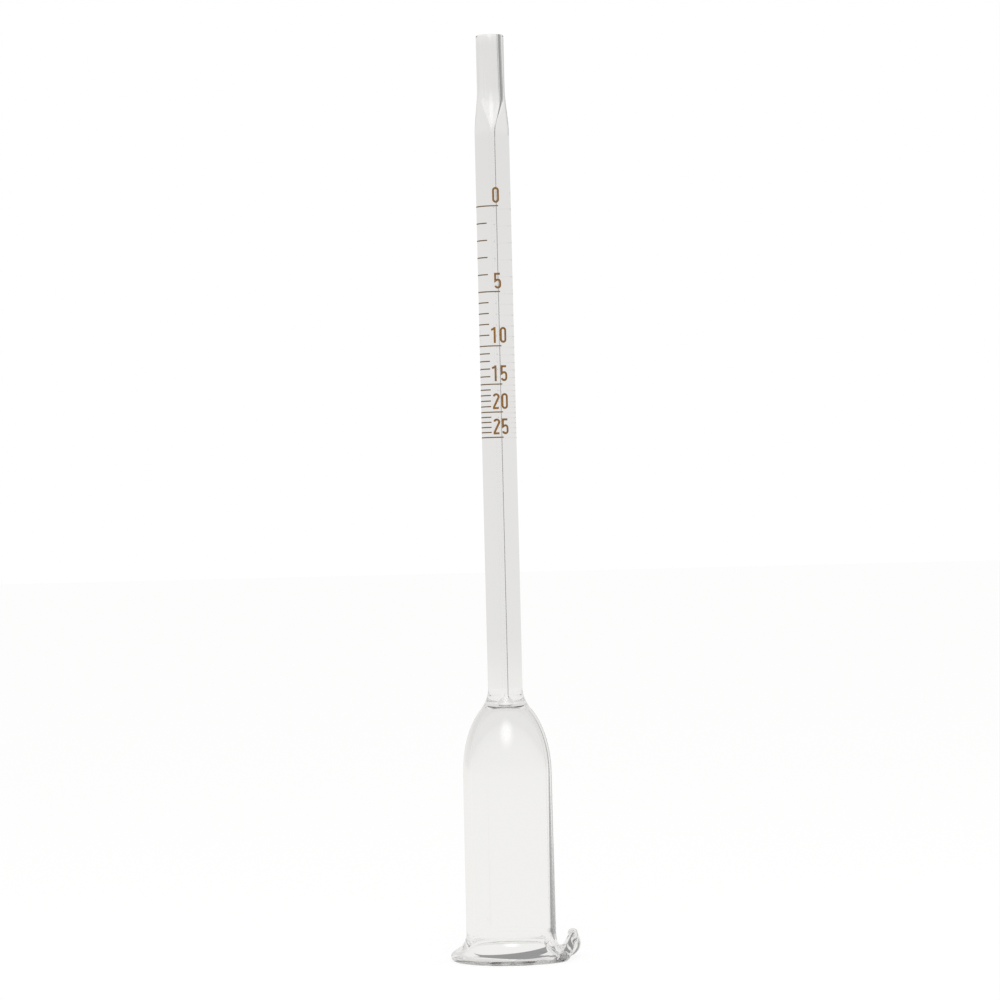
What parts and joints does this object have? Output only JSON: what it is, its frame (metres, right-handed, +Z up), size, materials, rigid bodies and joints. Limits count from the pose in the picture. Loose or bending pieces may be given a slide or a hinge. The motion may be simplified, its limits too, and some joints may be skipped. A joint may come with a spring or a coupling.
{
  "type": "capillary vinometer",
  "caption": "Glass capillary vinometer: graduated thick-walled stem with an opened mouth, standing on an open bell with a flanged, lipped foot.",
  "frame": {"origin": "on the stem's axis, at the level that the foot rests on", "axes": "+Z up the stem to the mouth, +X towards the foot's turned-up lip, -Y the side that the scale faces"},
  "size_m": [0.0189, 0.0176, 0.134],
  "materials": {
    "clear_glass": "clear flame-worked glass",
    "amber_enamel": "fired amber enamel print"
  },
  "bodies": {
    "root": {"bell": "clear_glass", "capillary_stem": "clear_glass", "foot_flange": "clear_glass", "mouth_tube": "clear_glass", "neck_seal": "clear_glass", "numeral_0": "amber_enamel", "numeral_10_tens": "amber_enamel", "numeral_10_units": "amber_enamel", "numeral_15_tens": "amber_enamel", "numeral_15_units": "amber_enamel", "numeral_20_tens": "amber_enamel", "numeral_20_units": "amber_enamel", "numeral_25_tens": "amber_enamel", "numeral_25_units": "amber_enamel", "numeral_5": "amber_enamel", "scale_line_00": "amber_enamel", "scale_line_01": "amber_enamel", "scale_line_02": "amber_enamel", "scale_line_03": "amber_enamel", "scale_line_04": "amber_enamel", "scale_line_05": "amber_enamel", "scale_line_06": "amber_enamel", "scale_line_07": "amber_enamel", "scale_line_08": "amber_enamel", "scale_line_09": "amber_enamel", "scale_line_10": "amber_enamel", "scale_line_11": "amber_enamel", "scale_line_12": "amber_enamel", "scale_line_13": "amber_enamel", "scale_line_14": "amber_enamel", "scale_line_15": "amber_enamel", "scale_line_16": "amber_enamel", "scale_line_17": "amber_enamel", "scale_line_18": "amber_enamel", "scale_line_19": "amber_enamel", "scale_line_20": "amber_enamel", "scale_line_21": "amber_enamel", "scale_line_22": "amber_enamel", "scale_line_23": "amber_enamel", "scale_line_24": "amber_enamel", "scale_line_25": "amber_enamel"}
  },
  "joints": []
}
